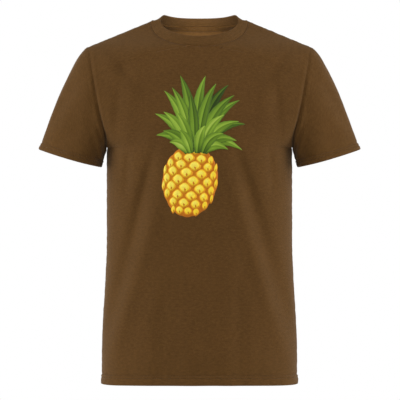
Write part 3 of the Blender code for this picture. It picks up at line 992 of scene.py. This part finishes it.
class Ink:
    """Flat shapes gathered in the print's plane, then laid on the chest in layers."""

    def __init__(self):
        self.points, self.lifts, self.tones, self.flow, self.faces = [], [], [], [], []

    def add(self, points, faces, tones, lift, flow):
        count = len(self.points)
        self.points += list(points)
        self.lifts += [lift] * len(points)
        self.tones += list(tones)
        self.flow += list(flow)
        self.faces += [tuple(i + count for i in f) for f in faces]

    def lay(self, name, tree, slot, material):
        verts = []
        for (x, z), lift in zip(self.points, self.lifts):
            spot, normal, _, _ = tree.ray_cast(Vector((x, -1.0, z)), Vector((0, 1, 0)))
            verts.append(np.array(spot) + np.array(normal) * (0.00022 + lift))
        obj = make_object(name, verts, self.faces, material, self.flow, self.tones)
        face_out(obj, lambda p: p * 0 + (0, -1, 0))
        thicken(obj, FILM)
        return obj


def fan_faces(rings, sides):
    """Faces for a centre point and rings of points round it."""
    faces = [(0, 1 + k, 1 + (k + 1) % sides) for k in range(sides)]
    for r in range(rings - 1):
        a, b = 1 + r * sides, 1 + (r + 1) * sides
        faces += [(a + k, b + k, b + (k + 1) % sides, a + (k + 1) % sides) for k in range(sides)]
    return faces


def fruit_outline(angle):
    """The fruit's reach at an angle: an egg, a little fuller below, knobbed by its eyes."""
    x, z = math.sin(angle), math.cos(angle)
    knob = 0.022 * abs(math.sin(angle * 8.5 + 0.4)) + 0.008 * noise.noise(Vector((x * 3, z * 3, 4.0)))
    return (0.965 + knob) / (abs(x) ** EGG + abs(z) ** EGG) ** (1 / EGG)


def fruit_place(x, z):
    """From the fruit's own frame, in which it fills -1 to 1 each way, to the chest."""
    x, z = x * FRUIT_HALF[0] * (1 + 0.05 * z), z * FRUIT_HALF[1]
    c, s = math.cos(FRUIT_TILT), math.sin(FRUIT_TILT)
    return FRUIT_MIDDLE[0] + x * c + z * s, FRUIT_MIDDLE[1] - x * s + z * c


def fruit_light(x, z):
    """The drawing's own shade: lit from the upper left, dark round the edge and at the foot."""
    rim = max(0.0, (x * x + z * z) - 0.45)
    return 0.60 - 0.20 * x + 0.12 * z - 0.42 * rim


def draw_fruit():
    ink = Ink()
    sides, rings = 120, 12
    flat = [(0.0, 0.0)] + [
        (math.sin(a) * fruit_outline(a) * r / rings, math.cos(a) * fruit_outline(a) * r / rings)
        for r in range(1, rings + 1)
        for a in (2 * math.pi * k / sides for k in range(sides))
    ]
    tones = [0.14 + 0.22 * fruit_light(x, z) for x, z in flat]
    ink.add([fruit_place(x, z) for x, z in flat], fan_faces(rings, sides), tones, 0, flat)
    step, lean = math.radians(33), math.radians(7)
    level = 0.208
    for row in range(-5, 6):
        z = row * level + 0.02
        belt = max(0.0, 1 - abs(z) ** EGG) ** (1 / EGG)
        for k in range(-3, 4):
            turn = (k + 0.5 * (row % 2)) * step + lean
            if abs(turn) > math.radians(80):
                continue
            x = math.sin(turn) * belt * 0.97
            if (abs(x) ** 2 + abs(z) ** 2) > 0.90:
                continue
            wide = 0.5 * step * math.cos(turn) * (0.35 + 0.65 * belt) * 0.93
            tall = level * 0.84 * (0.45 + 0.55 * belt)
            draw_eye(ink, x, z, max(wide, 0.045), tall, row * 17 + k)
    return ink


def draw_eye(ink, x, z, wide, tall, seed):
    """One eye: a rounded lozenge, its raised pale cushion, and the small bract across it."""
    shake = lambda n: noise.noise(Vector((seed * 1.37, n * 2.11, 0.7)))
    x, z = x + 0.008 * shake(1), z + 0.008 * shake(2)
    sides = 14
    light = fruit_light(x, z)

    def lozenge(size, dx, dz, point, tone_in, tone_out, tone_side, lift):
        flat, tones = [(x + dx, z + dz)], [tone_in]
        for ring in (0.55, 1.0):
            for k in range(sides):
                a = 2 * math.pi * k / sides + 0.12 * shake(3)
                c, s = math.sin(a), math.cos(a)
                reach = size * ring / (abs(c) ** point + abs(s) ** point) ** (1 / point)
                reach *= 1 + 0.07 * shake(5 + k)
                flat.append((x + dx + c * reach * wide, z + dz + s * reach * tall))
                tones.append((tone_in if ring < 1 else tone_out) + tone_side * (s * 0.55 - c * 0.45))
        ink.add([fruit_place(*p) for p in flat], fan_faces(2, sides), tones, lift, flat)

    base = 0.42 + 0.40 * light + 0.06 * shake(20)
    lozenge(0.90, 0, 0, 1.45, base, base - 0.16, 0.10, 0.00016)
    lozenge(0.68, -0.04 * wide, 0.06 * tall, 1.6, base + 0.30, base + 0.18, 0.08, 0.00032)
    if light > 0.42:
        lozenge(0.28, -0.20 * wide, 0.24 * tall, 1.8, base + 0.42, base + 0.38, 0.02, 0.00046)
    bend = 0.25 * shake(30)
    flat, tones = [], []
    for i in range(6):
        t = i / 5
        thick = 0.13 * math.sin(math.pi * min(t * 1.15, 1)) + 0.01
        cx, cz = x + wide * (0.15 + bend * t) * t, z - tall * (0.05 + 0.55 * t)
        flat += [(cx - wide * thick, cz), (cx + wide * thick, cz)]
        tones += [0.22, 0.32]
    faces = [(2 * i, 2 * i + 1, 2 * i + 3, 2 * i + 2) for i in range(5)]
    ink.add([fruit_place(*p) for p in flat], faces, tones, 0.00050, flat)


# Five tiers of leaves, back to front: how far they reach, and each one's lean from upright in degrees.
LEAF_TIERS = (
    (1.00, (-44, 48, -20, 27, 2)),
    (0.90, (-66, 70, -32, 38, 12)),
    (0.74, (-84, 86, -54, 58, -12)),
    (0.56, (-72, 74, -34, 34)),
    (0.34, (-80, 82, -44, 48, 4)),
)


# The leaves that stand in the others' shade, counted from the back.
SHADED_LEAVES = (3, 6, 14)


def draw_crown():
    """The leaves, back to front: long dark arching ones, then shorter, paler ones in front."""
    ink = Ink()
    tall = CROWN_BOX[1][2] - CROWN_BASE[1] - 0.001
    half = (CROWN_BOX[1][0] - CROWN_BOX[0][0]) / 2 - 0.002
    count = 0
    for tier, (reach, leans) in enumerate(LEAF_TIERS):
        depth = tier / (len(LEAF_TIERS) - 1)
        for degrees in leans:
            shake = lambda n: noise.noise(Vector((count * 1.71, n * 2.3, 5.2)))
            angle = math.radians(degrees * 1.04 + 5 + 5 * shake(1))
            side = math.copysign(1, angle)
            far = reach * (1 + 0.06 * shake(2))
            bow = max(math.cos(angle), 0) ** 0.62 * (1 - 0.10 * math.sin(angle) ** 2)
            tip_x = CROWN_BASE[0] + 0.0055 + half * math.sin(abs(angle)) ** 0.85 * side * far**0.50 * 1.09
            tip = np.array([tip_x, CROWN_BASE[1] + tall * far * bow * 0.99 - 0.004 * depth])
            start = np.array([CROWN_BASE[0] + 0.016 * math.sin(angle), CROWN_BASE[1] - 0.006 * depth - 0.002])
            length = np.linalg.norm(tip - start)
            up = np.array([math.sin(angle * 0.30), math.cos(angle * 0.30)])
            elbow = start + up * length * (0.64 + 0.06 * shake(3))
            elbow[0] -= 0.007 * side * (1 - depth)
            width = mix(0.0102, 0.0094, depth) * (1 + 0.12 * shake(4))
            cool = count in SHADED_LEAVES
            tone = mix(0.50, 0.68, depth) + 0.10 * shake(6) - 0.08 * abs(math.sin(angle))
            draw_leaf(ink, start, elbow, tip, width, tone - 0.24 * cool, count * 0.00003, count)
            count += 1
    return ink


def draw_leaf(ink, start, elbow, tip, width, tone, lift, seed):
    steps = 18
    shares = (-1.0, -0.55, -0.08, 0.08, 0.55, 1.0)
    shade = (-0.20, 0.10, 0.24, -0.22, -0.04, -0.24)
    flat, tones, flow = [], [], []
    for i in range(steps + 1):
        t = i / steps
        place = start * (1 - t) ** 2 + elbow * 2 * t * (1 - t) + tip * t * t
        ahead = unit(2 * (elbow - start) * (1 - t) + 2 * (tip - elbow) * t)
        beside = np.array([ahead[1], -ahead[0]])
        broad = width * (0.48 + 0.52 * math.sin(math.pi * t**0.95)) * (1 - t**4.2) ** 0.8 + 0.00012
        base_dark = -0.34 * (1 - min(t * 2.6, 1)) ** 1.5
        # The edges carry small teeth
        for share, dark in zip(shares, shade):
            tooth = 1 + (0.07 if i % 2 and abs(share) == 1 else 0)
            flat.append(tuple(place + beside * broad * share * tooth))
            tones.append(tone + dark * (1 - 0.3 * t) + base_dark + 0.10 * math.sin(t * 3.0 + seed))
            flow.append((share * 0.5 + seed * 3.1, t * 1.0 + seed * 1.7))
    ink.add(flat, grid_faces(steps + 1, len(shares)), tones, lift, flow)


# ---- Finishes ----


def paint(red, green, blue):
    """A colour from its usual 0 to 255 values, as the shaders take it."""
    lift = lambda c: c / 12.92 if c <= 0.04045 else ((c + 0.055) / 1.055) ** 2.4
    return tuple(lift(c / 255) for c in (red, green, blue)) + (1.0,)


class Tree:
    """A node tree with short ways to add and join nodes."""

    def __init__(self, tree):
        self.tree = tree

    def add(self, kind, inputs=(), **settings):
        node = self.tree.nodes.new(kind)
        for key, value in settings.items():
            setattr(node, key, value)
        for key, value in dict(inputs).items():
            self.feed(node.inputs[key], value)
        return node

    def feed(self, socket, value):
        if isinstance(value, bpy.types.NodeSocket):
            self.tree.links.new(value, socket)
        else:
            socket.default_value = value

    def math(self, operation, *values):
        return self.add("ShaderNodeMath", enumerate(values), operation=operation).outputs[0]

    def times(self, first, second):
        return self.math("MULTIPLY", first, second)

    def plus(self, first, second):
        return self.math("ADD", first, second)

    def minus(self, first, second):
        return self.math("SUBTRACT", first, second)

    def spread(self, value, low, high, to_low, to_high):
        inputs = {"Value": value, 1: low, 2: high, 3: to_low, 4: to_high}
        return self.add("ShaderNodeMapRange", inputs).outputs[0]

    def noise(self, place, scale, detail=2.0):
        return self.add("ShaderNodeTexNoise", {"Vector": place, "Scale": scale, "Detail": detail}).outputs["Fac"]

    def stretch(self, place, scale):
        return self.add("ShaderNodeMapping", {"Vector": place, "Scale": scale}).outputs[0]

    def parts(self, place):
        return self.add("ShaderNodeSeparateXYZ", {0: place}).outputs

    def cloth(self):
        """Where the point lies on the flat cloth."""
        return self.add("ShaderNodeUVMap", uv_map="cloth").outputs[0]

    def solid(self):
        return self.add("ShaderNodeTexCoord").outputs["Object"]

    def mark(self, name):
        return self.add("ShaderNodeAttribute", attribute_name=name).outputs["Fac"]

    def blend(self, share, first, second, mode="MIX"):
        node = self.add("ShaderNodeMix", {"Factor": share, 6: first, 7: second}, data_type="RGBA", blend_type=mode)
        return node.outputs[2]

    def shaded(self, colour, shade):
        """The colour, darker or lighter by the shade."""
        grey = self.add("ShaderNodeCombineColor", {0: shade, 1: shade, 2: shade}).outputs[0]
        return self.blend(1.0, colour, grey, "MULTIPLY")

    def relief(self, strength, distance, height):
        return self.add("ShaderNodeBump", {"Strength": strength, "Distance": distance, "Height": height}).outputs[0]

    def use(self, group, inputs):
        return self.add("ShaderNodeGroup", inputs, node_tree=group).outputs


def new_group(name, inputs, outputs):
    group = bpy.data.node_groups.new(name, "ShaderNodeTree")
    for label, kind, value in inputs:
        socket = group.interface.new_socket(name=label, in_out="INPUT", socket_type=kind)
        if value is not None:
            socket.default_value = value
    for label, kind in outputs:
        group.interface.new_socket(name=label, in_out="OUTPUT", socket_type=kind)
    tree = Tree(group)
    return group, tree, tree.add("NodeGroupInput").outputs, tree.add("NodeGroupOutput").inputs


# How far apart the knit's columns and rows of loops are.
WALE, COURSE = 0.0007, 0.00056


def knit_group():
    """Knitted loops: columns of small Vs, with the yarn's height and how much light its gaps lose."""
    group, tree, given, result = new_group(
        "knit loops",
        [
            ("Place", "NodeSocketVector", None),
            ("Wale", "NodeSocketFloat", WALE),
            ("Course", "NodeSocketFloat", COURSE),
        ],
        [("Height", "NodeSocketFloat"), ("Shade", "NodeSocketFloat")],
    )
    parts = tree.parts(given["Place"])
    wale = tree.math("DIVIDE", parts[0], given["Wale"])
    leg = tree.times(tree.math("ABSOLUTE", tree.minus(tree.math("FRACT", wale), 0.5)), 2.0)
    course = tree.plus(tree.math("DIVIDE", parts[1], given["Course"]), tree.times(leg, 0.9))
    stripe = tree.math("ABSOLUTE", tree.math("SINE", tree.times(course, math.pi)))
    across = tree.times(tree.minus(leg, 0.5), 2.0)
    yarn = tree.minus(1.0, tree.times(across, across))
    height = tree.times(yarn, tree.plus(tree.times(stripe, 0.65), 0.35))
    tree.feed(result["Height"], height)
    tree.feed(result["Shade"], tree.spread(height, 0.0, 0.8, 0.80, 1.06))
    return group


def mottle_group():
    """The slight unevenness of piece-dyed cotton: broad clouds, single yarns, streaks and slubs."""
    group, tree, given, result = new_group(
        "dyed cotton",
        [("Place", "NodeSocketVector", None), ("Cloth", "NodeSocketVector", None), ("Depth", "NodeSocketFloat", 1.0)],
        [("Shade", "NodeSocketFloat"), ("Fuzz", "NodeSocketFloat")],
    )
    grain = tree.noise(given["Place"], 900.0, 2.0)
    total = 1.0
    for unevenness, strength in (
        (tree.noise(given["Place"], 22.0, 3.0), 0.20),
        (grain, 0.26),
        (tree.noise(tree.stretch(given["Cloth"], (130.0, 290.0, 1.0)), 1.0, 2.0), 0.62),
        (tree.noise(tree.stretch(given["Cloth"], (110.0, 1500.0, 1.0)), 1.0, 1.0), 0.14),
    ):
        total = tree.plus(tree.times(tree.minus(unevenness, 0.5), strength), total)
    tree.feed(result["Shade"], tree.plus(tree.times(tree.minus(total, 1.0), given["Depth"]), 1.0))
    tree.feed(result["Fuzz"], grain)
    return group


KNIT, MOTTLE = knit_group(), mottle_group()


def new_material(name, roughness, specular, sheen=0.0, sheen_roughness=0.5, sheen_tint=(1, 1, 1, 1)):
    mat = bpy.data.materials.new(name)
    mat.use_nodes = True
    tree = Tree(mat.node_tree)
    shader = mat.node_tree.nodes["Principled BSDF"]
    shader.inputs["Roughness"].default_value = roughness
    shader.inputs["Specular IOR Level"].default_value = specular
    shader.inputs["Sheen Weight"].default_value = sheen
    shader.inputs["Sheen Roughness"].default_value = sheen_roughness
    shader.inputs["Sheen Tint"].default_value = sheen_tint
    return mat, tree, shader.inputs


def lighter(colour, gain, lift):
    return tuple(min(c * gain + lift, 1) for c in colour[:3]) + (1,)


def cloth_material(name, colour, wale, sheen):
    mat, tree, shader = new_material(name, 0.92, 0.08, sheen, 0.50, (1.0, 0.84, 0.62, 1))
    cloth = tree.cloth()
    knit = tree.use(KNIT, {"Place": cloth, "Wale": wale, "Course": COURSE})
    mottle = tree.use(MOTTLE, {"Place": tree.solid(), "Cloth": cloth})
    # Where fibres stand out of the yarn the dye looks paler and greyer
    fuzz = tree.spread(mottle["Fuzz"], 0.50, 0.78, 0.0, 0.55)
    tone = tree.blend(fuzz, colour, lighter(colour, 1.45, 0.012))
    # The wrong side is paler: partly the loops' undyed bends, partly painted light that brightens the shirt's shaded
    # inside, such as the back of the neck
    tone = tree.blend(tree.mark("wrong_side"), tone, lighter(colour, 1.45, 0.004))
    tree.feed(shader["Base Color"], tree.shaded(tone, tree.times(knit["Shade"], mottle["Shade"])))
    height = tree.plus(knit["Height"], tree.times(mottle["Fuzz"], 0.5))
    tree.feed(shader["Normal"], tree.relief(0.6, 0.00016, height))
    return mat


def thread_material(colour):
    mat, tree, shader = new_material("sewing_thread", 0.65, 0.25, 0.25, 0.4, (1.0, 0.9, 0.8, 1))
    parts = tree.parts(tree.cloth())
    slant = tree.plus(tree.times(parts[0], 9000.0), tree.times(parts[1], 7000.0))
    ply = tree.math("ABSOLUTE", tree.math("SINE", slant))
    worn = tree.noise(tree.solid(), 160.0, 2.0)
    shade = tree.times(tree.spread(ply, 0, 1, 0.72, 1.08), tree.spread(worn, 0.3, 0.7, 0.86, 1.14))
    tree.feed(shader["Base Color"], tree.shaded(colour, shade))
    tree.feed(shader["Normal"], tree.relief(0.8, 0.00008, ply))
    return mat


def ink_material(name, stops, streak_scale, streak_depth):
    """Soft ink over jersey: the drawing's tones, brushed streaks, the knit and pinholes that show through, and
    painted shade in the knit's gaps.
    """
    mat, tree, shader = new_material(name, 0.62, 0.12, 0.12, 0.5)
    place = tree.solid()
    streak = tree.minus(tree.noise(tree.stretch(tree.cloth(), streak_scale), 1.0, 3.0), 0.5)
    tone = tree.plus(tree.mark("tone"), tree.times(streak, streak_depth))
    ramp = tree.add("ShaderNodeValToRGB", {"Fac": tone})
    ramp.color_ramp.elements[0].position, ramp.color_ramp.elements[0].color = stops[0]
    ramp.color_ramp.elements[1].position, ramp.color_ramp.elements[1].color = stops[-1]
    for position, colour in stops[1:-1]:
        ramp.color_ramp.elements.new(position).color = colour
    turned = tree.add("ShaderNodeMapping", {"Vector": place, "Rotation": (math.radians(90), 0, 0)}).outputs[0]
    knit = tree.use(KNIT, {"Place": turned})
    # Painted shade: the ink is darker in the knit's gaps than on the loops' tops
    inked = tree.shaded(ramp.outputs[0], tree.spread(knit["Height"], 0.0, 0.8, 0.90, 1.03))
    specks = tree.spread(tree.noise(place, 1300.0, 1.0), 0.68, 0.76, 0.0, 0.5)
    tree.feed(shader["Base Color"], tree.blend(specks, inked, BROWN))
    tree.feed(shader["Normal"], tree.relief(0.35, 0.00012, tree.plus(knit["Height"], streak)))
    return mat


BROWN = (0.1000, 0.0462, 0.0112, 1.0)
JERSEY = cloth_material("jersey", BROWN, WALE, 0.10)
RIB = cloth_material("rib_knit", (0.1120, 0.0530, 0.0140, 1.0), 0.00060, 0.12)
SEWING = thread_material((0.0820, 0.0385, 0.0118, 1.0))
FRUIT_TONES = [
    (0.02, paint(126, 78, 20)),
    (0.20, paint(190, 108, 18)),
    (0.42, paint(219, 138, 20)),
    (0.62, paint(236, 178, 30)),
    (0.82, paint(248, 214, 46)),
    (1.00, paint(252, 232, 92)),
]
LEAF_TONES = [
    (0.00, paint(38, 58, 14)),
    (0.20, paint(62, 90, 20)),
    (0.40, paint(92, 124, 30)),
    (0.60, paint(122, 156, 44)),
    (0.80, paint(154, 184, 66)),
    (1.00, paint(190, 208, 104)),
]
FRUIT_INK = ink_material("print_fruit", FRUIT_TONES, (14.0, 9.0, 1.0), 0.16)
LEAF_INK = ink_material("print_leaves", LEAF_TONES, (9.0, 1.6, 1.0), 0.34)

# ---- The shirt, sewn together ----


def replace(piece, *nodes):
    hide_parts(*nodes)
    return piece


front = replace(panel_mesh("front", FRONT), "front_panel")
back = replace(panel_mesh("back", BACK), "back_panel")
sleeves = {side: replace(sleeve_mesh("sleeve_cloth_" + word, side), "sleeve_" + word) for side, word in SIDES}
tree = panel_tree()
collar = replace(collar_mesh("collar_band", tree), "neck_rib")
tape = replace(tape_mesh("back_neck_tape", tree), "neck_tape")
topstitch, neck_overlock = neck_threads(tree)
replace(topstitch, "neck_stitch")
replace(neck_overlock, "neck_seam")


def sew_hem(part, end, loop, needles):
    """A hem's two rows of stitches, and the looper thread that crosses between them inside."""
    rows = [loop(height) for height in needles]
    inside = [loop(height, 2 * TURN) for height in needles]
    looper = cover_stitch(inside[0][0], inside[1][0], inside[0][1])
    low = thread_object(f"{part}_thread_lower{end}", [straight_row(*rows[0])])
    high = thread_object(f"{part}_thread_upper{end}", [straight_row(*rows[1]), looper])
    return [replace(low, f"{part}_stitch_lower{end}"), replace(high, f"{part}_stitch_upper{end}")]


def sew_seams(side, word):
    """One side's overlocked seams: each one's line, the way its allowance points and the loops' width."""
    width, half = ALLOWANCE[-1], CLOTH + 0.0001
    edge = lambda face, rows: PANELS[face][side].skin(rows, np.full(len(rows), float(COLUMNS)))[0]
    up, down = np.linspace(BODY_ROWS, TOP_ROW, 150), np.linspace(TOP_ROW, BODY_ROWS, 150)
    ring = np.concatenate([edge(FRONT, up), edge(BACK, down)[1:]])
    shoulder = PANELS[FRONT][side].skin(np.full(90, float(TOP_ROW)), np.linspace(0.8, 29.4, 90))[0]
    sleeve = SLEEVES[side]
    foot = sleeve.row_above_hem(SLEEVE_HEM + 0.001, np.array([0.0]))[0]
    place, normal, _, _ = sleeve.skin(np.linspace(1.5, foot, 40), np.zeros(40))
    for kind, line, inward, wide in (
        ("side", edge(FRONT, np.linspace(2.6, BODY_ROWS - 0.3, 160)), np.array([-side, 0, 0.0]), width),
        ("armhole", ring, armhole_inward(ring, side), width),
        ("shoulder", shoulder, np.array([0, 0, -1.0]), width),
        ("sleeve", place - normal * CLOTH, -normal, width * 0.8),
    ):
        loops = overlock(line, np.broadcast_to(inward, line.shape), wide, half)
        replace(thread_object(f"{kind}_overlock_{word}", loops), f"{kind}_seam_{word}")


hem_threads = sew_hem("hem", "", body_loop, BODY_NEEDLES)
for side, word in SIDES:
    loop = functools.partial(sleeve_loop, side)
    sew_hem("sleeve", "_" + word, loop, SLEEVE_NEEDLES)
for side, word in SIDES:
    sew_seams(side, word)
fruit = replace(draw_fruit().lay("fruit_ink", tree, "print_fruit", FRUIT_INK), "print_fruit")
crown = replace(draw_crown().lay("crown_ink", tree, "print_leaves", LEAF_INK), "print_crown")

# ---- Stage ----

FLOOR_Z = HEM_Z - 0.25
WORLD_LIGHT = 0.335
CAMERA_FAR = 4.5
VIEW_WIDTH = 0.7764
SENSOR_MM = 36
# Each soft light's place, size, strength, the place that it's turned to, and how wide it shines in degrees.
LIGHTS = (
    ((-2.4, -0.55, 0.3), (1.0, 2.0), 45, (0, 0, -0.35), 180),
    ((2.4, -0.55, 0.3), (1.0, 2.0), 45, (0, 0, -0.35), 180),
    ((0, -1.5, 1.25), (0.7, 0.5), 12, (0, 0.07, -0.03), 180),
    ((0, -0.040, -0.062), (0.06, 0.02), 0.045, (0, 0.074, -0.004), 85),
    ((1.3, 2.4, 0.3), (1.0, 1.8), 26, (0, 0, HEM_Z / 2), 180),
    ((-1.3, 2.4, 0.3), (1.0, 1.8), 26, (0, 0, HEM_Z / 2), 180),
)


def lay_floor():
    bpy.ops.mesh.primitive_cylinder_add(vertices=96, radius=1.6, depth=0.02, location=(0, 0, FLOOR_Z - 0.01))
    floor = bpy.context.object
    floor.name = "floor"
    mat, _, shader = new_material("floor", 0.7, 0.2)
    shader["Base Color"].default_value = (0.85, 0.85, 0.84, 1)
    floor.data.materials.append(mat)


def light_studio():
    """White walls, which the camera sees as plain white, and the soft lights."""
    world = bpy.data.worlds.new("studio")
    world.use_nodes = True
    nodes = Tree(world.node_tree)
    shown = nodes.add("ShaderNodeLightPath").outputs["Is Camera Ray"]
    background = world.node_tree.nodes["Background"]
    background.inputs["Color"].default_value = (1, 1, 1, 1)
    nodes.feed(background.inputs["Strength"], nodes.spread(shown, 0, 1, WORLD_LIGHT, 1.0))
    bpy.context.scene.world = world
    for place, size, energy, target, spread in LIGHTS:
        light = bpy.data.lights.new("softbox", "AREA")
        light.shape = "RECTANGLE"
        light.size, light.size_y = size
        light.energy = energy
        light.spread = math.radians(spread)
        lamp = bpy.data.objects.new("softbox", light)
        lamp.location = place
        lamp.rotation_euler = (Vector(target) - lamp.location).to_track_quat("-Z", "Y").to_euler()
        lamp.visible_camera = False
        bpy.context.scene.collection.objects.link(lamp)


def set_camera():
    scene = bpy.context.scene
    lens = bpy.data.cameras.new("camera")
    lens.sensor_width = SENSOR_MM
    lens.lens = SENSOR_MM * CAMERA_FAR / VIEW_WIDTH
    camera = bpy.data.objects.new("camera", lens)
    camera.location = (0.001, -CAMERA_FAR, -0.361)
    camera.rotation_euler = (math.radians(90), 0, 0)
    scene.collection.objects.link(camera)
    scene.camera = camera
    scene.view_settings.view_transform = "Standard"


lay_floor()
light_studio()
set_camera()
